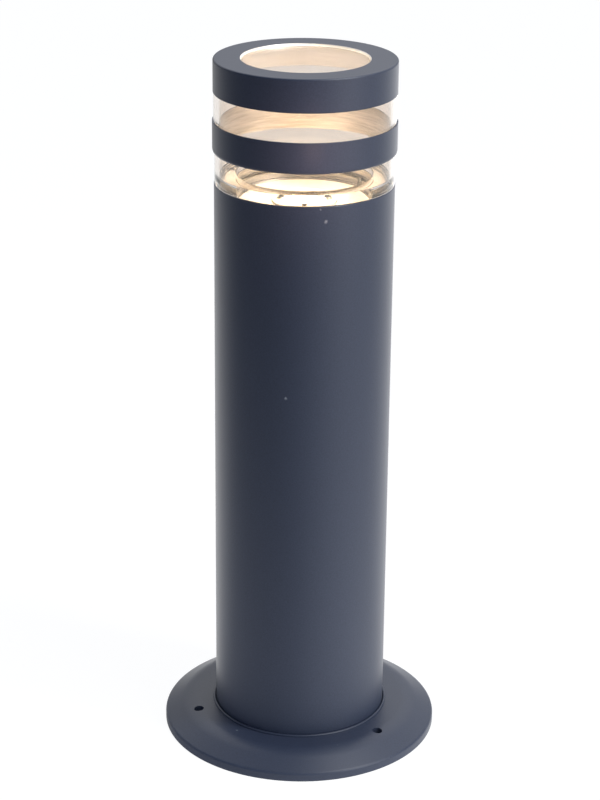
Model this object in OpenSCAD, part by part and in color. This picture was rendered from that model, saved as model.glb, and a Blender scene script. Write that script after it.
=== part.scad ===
// Garden post light: a flanged tube post with a clear, ringed light head.
// Z is up and the origin is the centre of the flange on the ground.

/* [Post] */
// Height from the ground to the top of the cap
total_h = 450; // [350:10:900]
// Outside diameter of the post tube
post_d = 112; // [106:1:132]
// Wall of the post tube
post_wall = 2.5; // [2:0.5:4]
// Bevel on the inner and outer edges of the tube's ends
tube_bevel = 0.3; // [0.1:0.1:0.6]

/* [Flange] */
// Outside diameter of the flange
flange_d = 180; // [174:1:210]
// Height of the flat plateau round the post
plateau_z = 13.8; // [12:0.2:18]
// Diameter at which the plateau starts to turn down
plateau_d = 136; // [130:1:146]
// Radius of the turn from the plateau to the skirt
shoulder_r = 24; // [12:1:30]
// Slope of the skirt, in degrees
skirt_angle = 28; // [20:1:29]
// Radius of the rolled outer edge
rim_r = 2.2; // [1:0.2:3]
// Wall of the casting
flange_wall = 3.5; // [2.5:0.5:4]
// Diameter of the cable opening in the middle
opening_d = 72; // [60:1:74]
// Width of the lip that the post stands inside
lip_w = 1.8; // [1.2:0.1:2.6]
// Height of that lip over the plateau
lip_h = 0.8; // [0.4:0.1:1.5]
// Depth of the groove that holds the post's foot
groove_depth = 1.5; // [1:0.1:2]
// Height of the ring that guides the post's bore
spigot_h = 9; // [5:1:20]
// Wall of that ring
spigot_wall = 3; // [2:0.5:3.5]
// Thickness of the radial ribs
rib_t = 2.5; // [1.5:0.5:4]
// Number of radial ribs, a multiple of three
rib_count = 9; // [3:3:12]
// Gap between the ribs and the ground
rib_lift = 2; // [1:0.5:3]

/* [Ground fixing] */
// Diameter of the circle through the bolt holes
bolt_pcd = 140; // [134:1:146]
// Diameter of each bolt hole
bolt_hole_d = 6.5; // [5:0.5:8.5]
// Diameter of the boss under each bolt hole
bolt_boss_d = 14; // [12:1:18]
// Number of bolt holes
bolt_count = 3; // [3:1:4]
// Direction of the first bolt hole, in degrees
bolt_angle = 77.2; // [70:0.1:84]

/* [Tie rods] */
// Diameter of the tie rods
rod_d = 5; // [4:0.5:6]
// Distance of the rods and the lens screws from the axis, inside the bore
rod_inset = 6.5; // [6:0.5:8]
// Width of the nuts across their flats
nut_af = 8; // [7:0.5:10]
// Height of the nuts
nut_h = 4; // [3:0.5:5]
// Diameter of the washers
washer_d = 10; // [9:0.5:12]
// Thickness of the washers
washer_t = 1; // [0.8:0.1:1.5]
// Length of rod that stands out of the nut
rod_tail = 0.8; // [0.2:0.1:1.2]
// Diameter of the bosses that take the rods
rod_boss_d = 10.5; // [9:0.5:12]

/* [Head] */
// Height of the lower window
lower_window_h = 20.2; // [12:0.1:40]
// Height of the middle band
band_h = 19.1; // [12:0.1:40]
// Height of the upper window
upper_window_h = 17.7; // [12:0.1:40]
// Height of the cap ring
cap_h = 20.5; // [14:0.1:40]
// Difference between the post's and the lower window's diameter
window_set_in = 0.6; // [0.2:0.1:1]
// Step in the lens that the middle band comes up against
band_step = 0.6; // [0.4:0.1:1.2]
// Wall of the middle band
band_wall = 1.15; // [1:0.05:2.5]
// Height of the rounding on the band's lower edge
band_round_h = 2; // [1:0.1:4]
// Difference between the cap's and the upper window's diameter
cap_proud = 0.4; // [0.2:0.1:2]
// Diameter of the round window in the cap
aperture_d = 79; // [50:1:86]
// Thickness of the cap's top
cap_top_t = 2.8; // [2:0.1:5]
// Wall of the cap's skirt
cap_wall = 1.7; // [1.5:0.1:1.8]
// Radius of the cap's upper edge
cap_edge_r = 1.2; // [0.5:0.1:2]
// Depth of the round window below the top of the cap
lens_recess = 1.5; // [0.5:0.1:2]
// Thickness of the flat seal under the cap
cap_seal_t = 1; // [0.5:0.1:2]
// Thickness of the round window's edge, which the cap holds down
window_edge_t = 2; // [1.5:0.1:3]

/* [Lens] */
// Length of the lens inside the post
lens_plug_h = 10.5; // [8:0.5:20]
// Wall of the lens round the two ring windows
lens_wall = 3; // [2.5:0.1:4]
// Width of the thick foot of the lens
lens_foot_w = 10.2; // [9.8:0.1:12]
// Height of the foot's top over the mouth of the post
lens_ledge_h = 6.5; // [4:0.5:12]
// Thickness of the round seal of the lens
lens_seal_d = 2.6; // [2:0.1:3.2]
// Depth of the holes for the lens screws
lens_hole_h = 6; // [5:0.5:8]

/* [Light source] */
// Depth of the heat sink's cup
cup_h = 11.5; // [8:0.5:16]
// Wall of the heat sink's cup
cup_wall = 3; // [2:0.5:4]
// Thickness of the heat sink's plate
sink_t = 6; // [4:0.5:10]
// Height of the cooling fins
fin_h = 22; // [10:1:40]
// Thickness of a fin
fin_t = 2; // [1.5:0.1:3]
// Spacing of the fins
fin_pitch = 6; // [5:0.5:8]
// Number of fins, even, so that the lead passes in the middle gap
fin_count = 12; // [4:2:12]
// Diameter over the fins
fins_d = 76; // [50:1:80]
// Diameter of the pedestal under the lamp board
pedestal_d = 40; // [38:1:42]
// Thickness of the lamp board
board_t = 1.6; // [1:0.1:2.4]
// Distance from the lamp board's underside down to the lens's foot
board_drop = 0.5; // [0:0.1:2]
// Width of the light source
emitter_w = 15; // [10:1:16]
// Thickness of the light source
emitter_t = 1.2; // [0.8:0.1:2]
// Thickness of the white reflector
reflector_t = 1.6; // [1:0.1:2.5]
// Width of the reflector's inner collar
collar_t = 1.5; // [1:0.1:2]

/* [Screws] */
// Diameter of the lens, tray and case screws
screw_d = 4; // [3:0.5:4]
// Diameter of the small screws
small_screw_d = 3; // [2:0.5:3]
// Width of the screw heads as a share of the shank
head_ratio = 1.75; // [1.5:0.05:1.9]

/* [Gear tray] */
// Thickness of the folded sheet
sheet_t = 1.5; // [1:0.1:2]
// Inner radius of its folds
fold_r = 2; // [1:0.5:3]
// Width of the tray
tray_w = 60; // [58:1:64]
// Height of the tray over its foot
tray_h = 219; // [218:1:230]
// Distance of the tray's face behind the axis
tray_y = 10; // [9:0.5:11]
// Depth of the tray's foot
foot_depth = 32; // [30:0.5:33]
// Depth of the tray's top fold
top_fold = 9; // [6:0.5:12]
// Height of the bosses under the tray's foot
tray_boss_h = 12.8; // [10:0.2:16]
// Diameter of those bosses
tray_boss_d = 9; // [8:0.5:11]
// Distance of the two foot screws from the middle
tray_screw_x = 24; // [20:0.5:26]
// Distance of the foot screws behind the tray's face
tray_screw_y = 24.5; // [22:0.5:26]
// Height of the earth screw over the tray's foot
earth_lift = 100; // [99:1:106]

/* [Driver] */
// Width of the driver's case
driver_w = 42; // [30:1:46]
// Depth of the case
driver_depth = 28; // [20:1:32]
// Height of the case
driver_h = 90; // [60:1:92]
// Height of the case over the tray's foot
driver_lift = 112; // [110:1:114]
// Corner radius of the case
driver_r = 3; // [1:0.5:5]
// Length of its fixing ears
ear_h = 9; // [9:0.5:10]
// Width of the ears
ear_w = 20; // [14:1:24]
// Thickness of the ears
ear_t = 2; // [1.5:0.1:3]

/* [Terminal box] */
// Width of the box
box_w = 56; // [50:1:58]
// Depth of the box without its lid
box_depth = 32; // [31:1:34]
// Height of the box
box_h = 62; // [58:1:64]
// Height of the box over the tray's foot
box_lift = 32; // [31:1:34]
// Wall of the box
box_wall = 2.2; // [1.8:0.1:2.6]
// Corner radius of the box
box_r = 4; // [3:0.5:6]
// Thickness of the lid
lid_t = 2.5; // [2:0.1:4]
// Thickness of the seal under the lid
lid_seal_t = 0.8; // [0.5:0.1:1.5]
// Diameter of the bosses for the lid screws
lid_boss_d = 7; // [6.5:0.5:8]
// Depth to which the lid screws enter their bosses
lid_screw_bite = 10; // [6:0.5:12]
// Distance of the box's fixing screws from its sides
box_screw_side = 10; // [8:0.5:12]
// Distance of those screws below the box's top
box_screw_drop = 11; // [9:0.5:13]
// Number of poles in the terminal block
pole_count = 3; // [2:1:3]
// Width of one pole
pole_w = 10; // [8:0.5:11]
// Height of the terminal block
block_h = 18; // [14:1:20]
// Depth of the terminal block
block_depth = 15; // [10:1:17]
// Height of the terminal block over the box's floor
block_lift = 26; // [22:1:30]

/* [Cable gland] */
// Diameter of the gland's thread
gland_d = 20; // [16:1:20]
// Width of the gland across its flats
gland_af = 24; // [22:1:26]
// Thickness of the gland's hexagon
gland_hex_h = 5; // [4:0.5:6]
// Length of the gland's lower thread
gland_thread_h = 10; // [8:0.5:12]
// Diameter of the cable hole through the rubber
cable_d = 9; // [6:0.5:10]
// Outside diameter of the rubber
gland_seal_d = 15; // [14:0.5:16]
// Height of the nut that squeezes the rubber
gland_nut_h = 15; // [13:0.5:16]
// Thickness of the locknut inside the box
locknut_h = 5; // [3:0.5:6]

/* [Leads] */
// Diameter of the mains lead between box and driver
mains_lead_d = 6; // [4:0.5:7]
// Diameter of the lead to the lamp board
led_lead_d = 3.2; // [2:0.2:3.4]
// Diameter of the earth lead
earth_lead_d = 2.4; // [1.6:0.2:3]
// Bend radius of the earth lead
earth_bend = 5; // [4:0.5:5]
// Height over which the lead to the lamp board swings forward
lead_swing_h = 46; // [30:1:60]

/* [Clearances] */
// Gap round a part that slides into a bore
slip = 0.2; // [0.1:0.05:0.3]
// Gap round a thread
thread_gap = 0.05; // [0.02:0.01:0.1]
// Gap round a screw that passes through a hole
pass_gap = 0.25; // [0.15:0.05:0.4]

/* [Hidden] */
$fn = 96;

// Colours
coat = "#3b3f4a";
bare_metal = "#b9bcc0";
zinc = "#c9ccc8";
rubber = "#1c1c1e";
clear = "#f4e6c8";
white_plastic = "#f2f2ee";
grey_plastic = "#c8cacb";
black_plastic = "#26272a";

// Post and head levels
bore_r = post_d / 2 - post_wall;
post_top_z = total_h - cap_h - upper_window_h - band_h - lower_window_h;
band_z = post_top_z + lower_window_h;
upper_window_z = band_z + band_h;
cap_z = upper_window_z + upper_window_h;

// Flange levels and radii
gasket_t = 1;
groove_z = plateau_z - groove_depth;
post_foot_z = groove_z + gasket_t;
spigot_r = bore_r - slip;
lip_in_r = post_d / 2 + slip;
lip_out_r = lip_in_r + lip_w;
seat_pad_t = 2;

// Tie rods and lens screws share one circle
rod_circle_r = bore_r - rod_inset;
rod_angle = bolt_angle + 180 / rib_count;
rod_angles = [for (k = [0 : 2]) rod_angle + k * 120];
lens_screw_angles = [for (k = [0 : 2]) rod_angle + 60 + k * 120];
seat_pad_z = plateau_z - flange_wall - seat_pad_t;
rod_boss_drop = 0.8;
rod_boss_z = seat_pad_z - rod_boss_drop;

// Lens and light source levels
lens_r = (post_d - window_set_in) / 2;
lens_upper_r = lens_r + band_step;
lens_plug_r = bore_r - slip * 5;
lens_foot_z = post_top_z - lens_plug_h;
lens_bore_r = lens_r - lens_wall;
lens_open_r = lens_plug_r - lens_foot_w;
lens_seal_z = post_top_z - lens_plug_h / 2;
cap_r = lens_upper_r + cap_proud / 2;
cap_bore_r = cap_r - cap_wall;
lens_neck_r = cap_bore_r - slip;
cap_under_z = total_h - cap_top_t;
lens_top_z = cap_under_z - cap_seal_t - window_edge_t;
sink_plate_z = lens_foot_z - cup_h - sink_t;
cup_floor_z = lens_foot_z - cup_h;
sink_r = bore_r - slip * 1.5;
rod_boss_h = 14;
sink_cover_t = 2;
board_z = lens_foot_z - board_drop;
board_r = pedestal_d / 2;
lead_hole_y = -15;
board_screw_x = 14.5;

// Gear levels
foot_z = plateau_z + tray_boss_h;
driver_z = foot_z + driver_lift;
box_z = foot_z + box_lift;
box_front_y = tray_y - box_depth;
gland_y = -6.5;
earth_x = 25;
earth_z = foot_z + earth_lift;
earth_lead_x = earth_x - 7;
earth_tag_t = 0.8;
earth_barrel_h = 4.5;
earth_lead_y = tray_y - earth_tag_t - earth_barrel_h - earth_bend;

// Points of an arc, from angle a0 to a1
function arc(cx, cy, r, a0, a1, n = 8) =
    [for (i = [0 : n]) let (a = a0 + (a1 - a0) * i / n) [cx + r * cos(a), cy + r * sin(a)]];

// Outline of a rectangle with round corners, centred on the origin
function round_rect(w, h, r, n = 5) = concat(
    arc(w / 2 - r, h / 2 - r, r, 0, 90, n), arc(r - w / 2, h / 2 - r, r, 90, 180, n),
    arc(r - w / 2, r - h / 2, r, 180, 270, n), arc(w / 2 - r, r - h / 2, r, 270, 360, n));

// Flange profile from the plateau to the ground, moved inwards by a wall thickness
shoulder_end_r = plateau_d / 2 + shoulder_r * sin(skirt_angle);
shoulder_end_z = plateau_z - shoulder_r * (1 - cos(skirt_angle));
rim_c_r = flange_d / 2 - rim_r;
rim_top_r = rim_c_r + rim_r * sin(skirt_angle);
rim_c_z = shoulder_end_z - (rim_top_r - shoulder_end_r) * tan(skirt_angle)
    - rim_r * cos(skirt_angle);
function turn_down(inset) =
    arc(plateau_d / 2, plateau_z - shoulder_r, shoulder_r - inset, 90, 90 - skirt_angle);
function skirt_z(inset, r) = let (
    p = turn_down(inset)[8])
    p[1] - (r - p[0]) * tan(skirt_angle);

module ring(outer_r, inner_r, z, h) {
    translate([0, 0, z])
        difference() {
            cylinder(r = outer_r, h = h);
            translate([0, 0, -1])
                cylinder(r = inner_r, h = h + 2);
        }
}

module at_circle(angles, r) {
    for (a = angles)
        rotate([0, 0, a])
            translate([r, 0, 0])
                children();
}

// A pan-head screw standing on the origin, its shank down and its head up
module pan_screw(d, length) {
    head_r = d * head_ratio / 2;
    head_h = d * 0.6;
    slot_w = d * 0.22;
    difference() {
        union() {
            translate([0, 0, -length])
                cylinder(d = d, h = length);
            rotate_extrude()
                polygon(concat([[0, 0], [head_r, 0]],
                    arc(head_r - head_h * 0.7, head_h * 0.3, head_h * 0.7, 0, 90, 5),
                    [[0, head_h]]));
        }
        for (a = [0, 90])
            rotate([0, 0, a])
                translate([-d * 0.55, -slot_w / 2, head_h * 0.4])
                    cube([d * 1.1, slot_w, head_h]);
    }
}

module hexagon(af, h) {
    cylinder(d = af / cos(30), h = h, $fn = 6);
}

module base_flange() {
    inner_rim_r = flange_d / 2 - flange_wall;
    web_r = opening_d / 2;
    underside_z = plateau_z - flange_wall;
    collar_w = flange_wall;
    collar_z = rib_lift - 0.5;
    color(coat)
        difference() {
            union() {
                // Shell, lip, groove and the ring that guides the post
                rotate_extrude()
                    polygon(concat(
                        [[web_r, underside_z], [web_r, plateau_z],
                            [spigot_r - spigot_wall, plateau_z],
                            [spigot_r - spigot_wall, plateau_z + spigot_h],
                            [spigot_r - 1, plateau_z + spigot_h],
                            [spigot_r, plateau_z + spigot_h - 1],
                            [spigot_r, groove_z], [lip_in_r, groove_z],
                            [lip_in_r, plateau_z + lip_h / 2]],
                        arc(lip_in_r + lip_w / 2, plateau_z + lip_h / 2, lip_w / 2, 180, 0, 6),
                        [[lip_out_r, plateau_z]],
                        turn_down(0),
                        arc(rim_c_r, rim_c_z, rim_r, 90 - skirt_angle, 0, 6),
                        [[flange_d / 2, 0], [inner_rim_r, 0],
                            [inner_rim_r, skirt_z(flange_wall, inner_rim_r)]],
                        [for (i = [8 : -1 : 0]) turn_down(flange_wall)[i]]));
                // Thicker pad under the groove
                ring(lip_out_r, spigot_r - spigot_wall, seat_pad_z, seat_pad_t + 1);
                // Collar round the cable opening
                ring(web_r + collar_w, web_r, collar_z, underside_z - collar_z + 1);
                at_circle([for (i = [0 : bolt_count - 1]) bolt_angle + i * 360 / bolt_count],
                    bolt_pcd / 2)
                    cylinder(d = bolt_boss_d, h = plateau_z - flange_wall * 0.8);
                at_circle(rod_angles, rod_circle_r)
                    translate([0, 0, rod_boss_z])
                        cylinder(d = rod_boss_d, h = rod_boss_drop + seat_pad_t + 1.5);
                for (x = [-1, 1] * tray_screw_x)
                    translate([x, tray_y + tray_screw_y, underside_z + 1])
                        cylinder(d = tray_boss_d, h = foot_z - underside_z - 1);
                for (i = [0 : rib_count - 1])
                    rotate([0, 0, bolt_angle + i * 360 / rib_count])
                        rib(web_r + collar_w / 2);
            }
            at_circle([for (i = [0 : bolt_count - 1]) bolt_angle + i * 360 / bolt_count],
                bolt_pcd / 2)
                translate([0, 0, -1])
                    cylinder(d = bolt_hole_d, h = plateau_z + 2);
            at_circle(rod_angles, rod_circle_r)
                translate([0, 0, -1])
                    cylinder(r = rod_d / 2 + pass_gap, h = plateau_z + 2);
            for (x = [-1, 1] * tray_screw_x)
                translate([x, tray_y + tray_screw_y, underside_z + 2])
                    cylinder(r = screw_d / 2 + thread_gap, h = tray_boss_h + flange_wall);
        }
}

// One radial rib, from the collar to the middle of the rim's wall
module rib(start_r) {
    mid = flange_wall / 2;
    end_r = flange_d / 2 - mid;
    translate([0, rib_t / 2, 0])
        rotate([90, 0, 0])
            linear_extrude(rib_t)
                polygon(concat([[start_r, rib_lift], [start_r, plateau_z - mid]],
                    turn_down(mid),
                    [[end_r, skirt_z(mid, end_r)], [end_r, rib_lift]]));
}

module foot_gasket() {
    color(rubber)
        ring(lip_in_r - slip, spigot_r + slip / 2, groove_z, gasket_t);
}

module post_tube() {
    color(coat)
        rotate_extrude()
            polygon([
                [bore_r + tube_bevel, post_foot_z], [post_d / 2 - tube_bevel, post_foot_z],
                [post_d / 2, post_foot_z + tube_bevel], [post_d / 2, post_top_z - tube_bevel],
                [post_d / 2 - tube_bevel, post_top_z], [bore_r + tube_bevel, post_top_z],
                [bore_r, post_top_z - tube_bevel], [bore_r, post_foot_z + tube_bevel]]);
}

module tie_rods() {
    nut_z = rod_boss_z - washer_t - nut_h;
    top_z = sink_plate_z + sink_t - sink_cover_t - 1;
    color(zinc)
        at_circle(rod_angles, rod_circle_r)
            translate([0, 0, nut_z - rod_tail])
                cylinder(d = rod_d, h = top_z - nut_z + rod_tail);
}

module tie_washers() {
    color(zinc)
        at_circle(rod_angles, rod_circle_r)
            ring(washer_d / 2, rod_d / 2 + pass_gap / 2, rod_boss_z - washer_t, washer_t);
}

module tie_nuts() {
    color(zinc)
        at_circle(rod_angles, rod_circle_r)
            translate([0, 0, rod_boss_z - washer_t - nut_h])
                difference() {
                    hexagon(nut_af, nut_h);
                    translate([0, 0, -1])
                        cylinder(r = rod_d / 2 + thread_gap, h = nut_h + 2);
                }
}

module heat_sink() {
    color(bare_metal)
        difference() {
            union() {
                translate([0, 0, sink_plate_z])
                    cylinder(r = sink_r, h = sink_t);
                ring(sink_r, sink_r - cup_wall, cup_floor_z - 1, cup_h + 1);
                translate([0, 0, cup_floor_z - 1])
                    cylinder(d = pedestal_d, h = board_z - cup_floor_z + 1);
                // These bosses stop short of the lens, so that it rests on the cup's rim
                at_circle(lens_screw_angles, rod_circle_r)
                    translate([0, 0, cup_floor_z - 1])
                        cylinder(d = rod_boss_d, h = cup_h + 1 - slip);
                at_circle(rod_angles, rod_circle_r)
                    translate([0, 0, sink_plate_z - rod_boss_h])
                        cylinder(d = rod_boss_d, h = rod_boss_h + 1);
                intersection() {
                    translate([0, 0, sink_plate_z - fin_h])
                        cylinder(d = fins_d, h = fin_h + 1);
                    for (i = [0 : fin_count - 1])
                        translate([(i - (fin_count - 1) / 2) * fin_pitch - fin_t / 2,
                            -fins_d / 2, sink_plate_z - fin_h])
                            cube([fin_t, fins_d, fin_h + 1]);
                }
            }
            at_circle(lens_screw_angles, rod_circle_r)
                translate([0, 0, sink_plate_z - 1])
                    cylinder(r = screw_d / 2 + pass_gap, h = sink_t + cup_h + 2);
            at_circle(rod_angles, rod_circle_r)
                translate([0, 0, sink_plate_z - rod_boss_h - 1])
                    cylinder(r = rod_d / 2 + thread_gap,
                        h = rod_boss_h + 1 + sink_t - sink_cover_t);
            translate([0, lead_hole_y, sink_plate_z - 1])
                cylinder(r = led_lead_d / 2 + pass_gap, h = board_z - sink_plate_z + 2);
            for (x = [-1, 1] * board_screw_x)
                translate([x, 0, board_z - 7])
                    cylinder(r = small_screw_d / 2 + thread_gap, h = 8);
        }
}

module led_board() {
    color(white_plastic)
        difference() {
            translate([0, 0, board_z])
                cylinder(r = board_r, h = board_t);
            translate([0, lead_hole_y, board_z - 1])
                cylinder(r = led_lead_d / 2 + thread_gap, h = board_t + 2);
            for (x = [-1, 1] * board_screw_x)
                translate([x, 0, board_z - 1])
                    cylinder(r = small_screw_d / 2 + pass_gap, h = board_t + 2);
        }
}

module led_emitter() {
    substrate_t = emitter_t * 0.7;
    color("#ffd98a")
        translate([0, 0, board_z + board_t]) {
            translate([-emitter_w / 2, -emitter_w / 2, 0])
                cube([emitter_w, emitter_w, substrate_t]);
            cylinder(d = emitter_w * 0.75, h = emitter_t);
        }
}

module board_screws() {
    color(zinc)
        for (x = [-1, 1] * board_screw_x)
            translate([x, 0, board_z + board_t])
                pan_screw(small_screw_d, board_t + 5);
}

module reflector() {
    top_z = lens_foot_z - slip;
    collar_r = pedestal_d / 2 + slip;
    color(white_plastic)
        difference() {
            union() {
                ring(sink_r - cup_wall - slip, collar_r, top_z - reflector_t, reflector_t);
                ring(collar_r + collar_t, collar_r, cup_floor_z, top_z - cup_floor_z);
            }
            at_circle(lens_screw_angles, rod_circle_r)
                translate([0, 0, cup_floor_z - 1])
                    cylinder(r = rod_boss_d / 2 + slip, h = cup_h + 2);
        }
}

module lens_screws() {
    color(zinc)
        at_circle(lens_screw_angles, rod_circle_r)
            translate([0, 0, sink_plate_z])
                mirror([0, 0, 1])
                    pan_screw(screw_d, sink_t + cup_h + lens_hole_h - 0.5);
}

module lens_seal() {
    color(rubber)
        translate([0, 0, lens_seal_z])
            rotate_extrude()
                translate([bore_r - slip / 4 - lens_seal_d / 2, 0])
                    circle(d = lens_seal_d, $fn = 32);
}

// The lens block is hollow: a clear wall on a thick foot, closed by the round window on top
module lens_block() {
    groove_r = bore_r - slip / 2 - lens_seal_d;
    groove_h = lens_seal_d + slip * 2;
    ledge_z = post_top_z + lens_ledge_h;
    color(clear, 0.6)
        difference() {
            rotate_extrude()
                polygon([
                    [lens_bore_r, ledge_z], [lens_open_r, ledge_z], [lens_open_r, lens_foot_z],
                    [lens_plug_r, lens_foot_z], [lens_plug_r, lens_seal_z - groove_h / 2],
                    [groove_r, lens_seal_z - groove_h / 2],
                    [groove_r, lens_seal_z + groove_h / 2],
                    [lens_plug_r, lens_seal_z + groove_h / 2],
                    [lens_plug_r, post_top_z], [lens_r, post_top_z],
                    [lens_r, upper_window_z], [lens_upper_r, upper_window_z],
                    [lens_upper_r, cap_z], [lens_neck_r, cap_z], [lens_neck_r, lens_top_z],
                    [lens_bore_r, lens_top_z]]);
            at_circle(lens_screw_angles, rod_circle_r)
                translate([0, 0, lens_foot_z - 1])
                    cylinder(r = screw_d / 2 + thread_gap, h = lens_hole_h + 1);
        }
}

module middle_band() {
    inner_r = lens_r + slip / 2;
    outer_r = inner_r + band_wall;
    round_w = band_wall * 0.8;
    color(coat)
        rotate_extrude()
            polygon(concat([[inner_r, upper_window_z], [inner_r, band_z]],
                [for (i = [0 : 6]) let (a = -90 + i * 15)
                    [outer_r - round_w + round_w * cos(a),
                        band_z + band_round_h + band_round_h * sin(a)]],
                [[outer_r, upper_window_z - 0.15], [outer_r - 0.15, upper_window_z]]));
}

module top_window() {
    face_z = total_h - lens_recess;
    edge_z = lens_top_z + window_edge_t;
    pane_r = aperture_d / 2 - slip;
    edge = 0.3;
    color(clear, 0.6)
        rotate_extrude()
            polygon([
                [0, lens_top_z], [lens_neck_r, lens_top_z], [lens_neck_r, edge_z],
                [pane_r, edge_z], [pane_r, face_z - edge], [pane_r - edge, face_z],
                [0, face_z]]);
}

module cap_seal() {
    color(rubber)
        ring(lens_neck_r - slip, aperture_d / 2 + slip, cap_under_z - cap_seal_t, cap_seal_t);
}

module cap_ring() {
    edge = 0.4;
    color(coat)
        rotate_extrude()
            polygon(concat([[aperture_d / 2, cap_under_z], [cap_bore_r, cap_under_z],
                [cap_bore_r, cap_z], [cap_r - edge / 2, cap_z], [cap_r, cap_z + edge / 2]],
                arc(cap_r - cap_edge_r, total_h - cap_edge_r, cap_edge_r, 0, 90, 6),
                [[aperture_d / 2 + edge, total_h], [aperture_d / 2, total_h - edge]]));
}

module gear_tray() {
    t = sheet_t;
    bend = fold_r + t;
    top_z = foot_z + tray_h;
    back_y = tray_y + foot_depth;
    color(zinc)
        difference() {
            translate([-tray_w / 2, 0, 0])
                rotate([90, 0, 90])
                    linear_extrude(tray_w)
                        polygon(concat([[back_y, foot_z]],
                            arc(tray_y + bend, foot_z + bend, bend, 270, 180, 5),
                            arc(tray_y + bend, top_z - bend, bend, 180, 90, 5),
                            [[tray_y + top_fold, top_z], [tray_y + top_fold, top_z - t]],
                            arc(tray_y + bend, top_z - bend, fold_r, 90, 180, 5),
                            arc(tray_y + bend, foot_z + bend, fold_r, 180, 270, 5),
                            [[back_y, foot_z + t]]));
            for (x = [-1, 1] * tray_screw_x)
                translate([x, tray_y + tray_screw_y, foot_z - 1])
                    cylinder(r = screw_d / 2 + pass_gap, h = t + 2);
            tray_hole(0, driver_z - ear_h / 2, screw_d);
            tray_hole(0, driver_z + driver_h + ear_h / 2, screw_d);
            tray_hole(-box_screw_x(), box_screw_z(), screw_d);
            tray_hole(box_screw_x(), box_screw_z(), screw_d);
            tray_hole(earth_x, earth_z, screw_d);
        }
}

function box_screw_x() = box_w / 2 - box_screw_side;
function box_screw_z() = box_z + box_h - box_screw_drop;

// Tapped hole in the tray's upright
module tray_hole(x, z, d) {
    translate([x, tray_y + sheet_t + 1, z])
        rotate([90, 0, 0])
            cylinder(r = d / 2 + thread_gap, h = sheet_t + 2);
}

// A screw that enters the tray's upright from the front, through a sheet or wall
module front_screw(x, z, wall) {
    translate([x, tray_y - wall, z])
        rotate([90, 0, 0])
            pan_screw(screw_d, wall + sheet_t + 2);
}

module tray_screws() {
    color(zinc)
        for (x = [-1, 1] * tray_screw_x)
            translate([x, tray_y + tray_screw_y, foot_z + sheet_t])
                pan_screw(screw_d, sheet_t + tray_boss_h - 2);
}

module led_driver() {
    mid_y = tray_y - driver_depth / 2;
    color(white_plastic)
        difference() {
            union() {
                translate([0, mid_y, driver_z])
                    linear_extrude(driver_h)
                        polygon(round_rect(driver_w, driver_depth, driver_r));
                translate([-ear_w / 2, tray_y - ear_t, driver_z - ear_h])
                    cube([ear_w, ear_t, driver_h + ear_h * 2]);
            }
            for (z = [driver_z - ear_h / 2, driver_z + driver_h + ear_h / 2])
                translate([0, tray_y + 1, z])
                    rotate([90, 0, 0])
                        cylinder(r = screw_d / 2 + pass_gap, h = ear_t + 2);
        }
}

module driver_screws() {
    color(zinc) {
        front_screw(0, driver_z - ear_h / 2, ear_t);
        front_screw(0, driver_z + driver_h + ear_h / 2, ear_t);
    }
}

// Corner positions of the lid's screws
module at_lid_corners() {
    for (x = [-1, 1], z = [-1, 1])
        translate([x * (box_w - lid_boss_d) / 2, box_front_y,
            box_z + box_h / 2 + z * (box_h - lid_boss_d) / 2])
            rotate([-90, 0, 0])
                children();
}

module terminal_box() {
    boss_h = lid_screw_bite + 4;
    color(grey_plastic)
        difference() {
            union() {
                difference() {
                    box_block(box_w, box_h, box_r, box_front_y, box_depth);
                    box_block(box_w - box_wall * 2, box_h - box_wall * 2, box_r - 1.5,
                        box_front_y - 1, box_depth - box_wall + 1);
                }
                intersection() {
                    box_block(box_w, box_h, box_r, box_front_y, box_depth);
                    at_lid_corners()
                        cylinder(d = lid_boss_d, h = boss_h);
                }
            }
            at_lid_corners()
                translate([0, 0, -1])
                    cylinder(r = small_screw_d / 2 + thread_gap, h = boss_h - 1);
            for (x = [-1, 1] * box_screw_x())
                translate([x, tray_y + 1, box_screw_z()])
                    rotate([90, 0, 0])
                        cylinder(r = screw_d / 2 + pass_gap, h = box_wall + 2);
            translate([0, gland_y, box_z - 1])
                cylinder(r = gland_d / 2 + slip, h = box_wall + 2);
            translate([0, gland_y, box_z + box_h - box_wall - 1])
                cylinder(r = mains_lead_d / 2 + slip, h = box_wall + 2);
            translate([earth_lead_x, earth_lead_y, box_z + box_h - box_wall - 1])
                cylinder(r = earth_lead_d / 2 + slip, h = box_wall + 2);
        }
}

// Upright round-cornered block, its face towards the front
module box_block(w, h, r, y, depth) {
    translate([0, y, box_z + box_h / 2])
        rotate([-90, 0, 0])
            linear_extrude(depth)
                polygon(round_rect(w, h, r));
}

module box_screws() {
    color(zinc) {
        front_screw(-box_screw_x(), box_screw_z(), box_wall);
        front_screw(box_screw_x(), box_screw_z(), box_wall);
    }
}

module terminal_block() {
    back_y = tray_y - box_wall;
    block_w = pole_count * pole_w;
    low_z = box_z + box_wall + block_lift;
    well_d = pole_w * 0.55;
    color(white_plastic)
        difference() {
            union() {
                for (i = [0 : pole_count - 1])
                    translate([(i - (pole_count - 1) / 2) * pole_w - pole_w * 0.42,
                        back_y - block_depth, low_z])
                        cube([pole_w * 0.84, block_depth, block_h]);
                translate([-block_w / 2, back_y - block_depth * 0.7, low_z + 1])
                    cube([block_w, block_depth * 0.7, block_h - 2]);
            }
            for (i = [0 : pole_count - 1], z = [0.27, 0.73])
                translate([(i - (pole_count - 1) / 2) * pole_w, back_y - block_depth * 0.5,
                    low_z + block_h * z])
                    rotate([90, 0, 0])
                        cylinder(d = well_d, h = block_depth);
            for (i = [0 : pole_count - 1])
                translate([(i - (pole_count - 1) / 2) * pole_w, back_y - block_depth * 0.32,
                    low_z - 1])
                    cylinder(d = pole_w * 0.4, h = block_h + 2);
        }
}

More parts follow.
